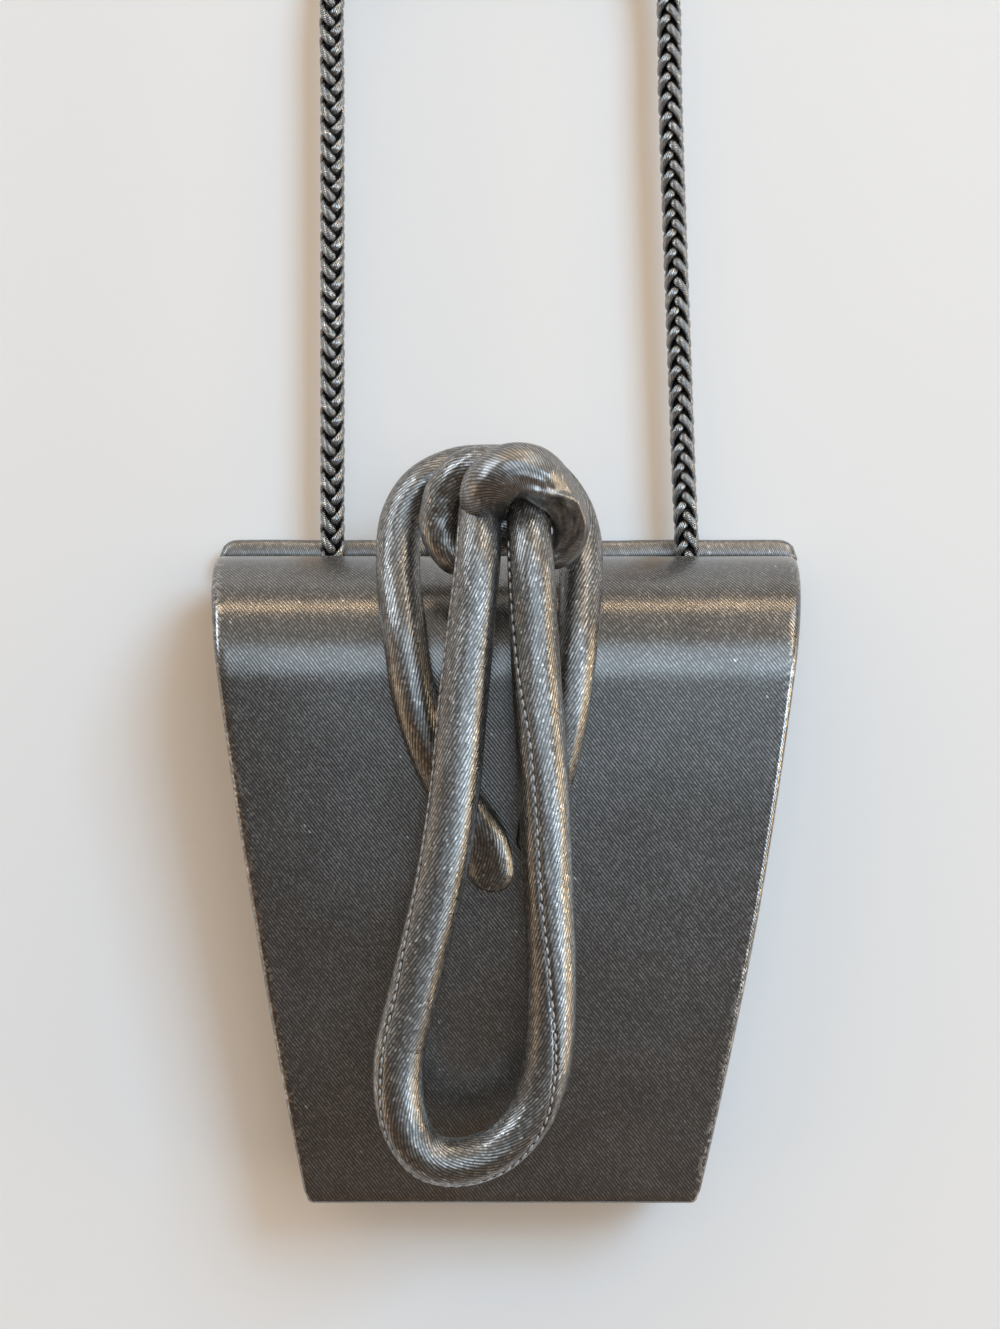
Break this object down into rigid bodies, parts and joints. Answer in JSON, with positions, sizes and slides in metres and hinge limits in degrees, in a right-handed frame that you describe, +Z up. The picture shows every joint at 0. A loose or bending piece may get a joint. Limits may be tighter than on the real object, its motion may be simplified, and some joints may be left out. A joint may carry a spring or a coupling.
{
  "type": "evening clutch",
  "caption": "small stiff satin evening bag with a full front flap, a braided shoulder cord, and a stuffed hand loop hitched onto a teardrop sewn to the flap",
  "frame": {"origin": "inner top of the shoulder cord's turn, where the hanging bag is held", "axes": "+Z up, the flap faces -Y, +X to the right of someone looking at the flap"},
  "size_m": [0.135, 0.0634, 0.3246],
  "materials": {
    "satin": "pewter metallic satin",
    "lining": "dull grey lining cloth",
    "board": "pressed fibre stiffener board",
    "snap_metal": "nickel plated",
    "braid": "metallic round braid"
  },
  "bodies": {
    "body": {"front_cover": "satin", "front_board": "board", "front_lining": "lining", "magnet_socket": "snap_metal", "socket_washer": "snap_metal", "back_cover": "satin", "back_board": "board", "back_lining": "lining", "back_top_roll": "satin", "left_gusset": "satin", "left_gusset_lining": "lining", "right_gusset": "satin", "right_gusset_lining": "lining", "base_cover": "satin", "base_board": "board", "base_lining": "lining", "hinge_strip": "satin", "strap_sleeve_left": "lining", "strap_sleeve_right": "lining", "strap_cord": "braid"},
    "flap": {"flap_cover": "satin", "flap_board": "board", "flap_lining": "lining", "magnet_stud": "snap_metal", "stud_washer": "snap_metal", "anchor_loop": "satin", "loop_knot": "satin"},
    "hand_loop": {"hand_loop": "satin"}
  },
  "joints": [
    {"name": "flap_hinge", "type": "hinge", "parent": "body", "child": "flap", "pos_m": [0, -0.0056, -0.1732], "axis": [-1, 0, 0], "range_deg": [0, 85]},
    {"name": "hand_loop_swing", "type": "hinge", "parent": "flap", "child": "hand_loop", "pos_m": [0, -0.0489, -0.1733], "axis": [-1, 0, 0], "range_deg": [0, 90]}
  ]
}
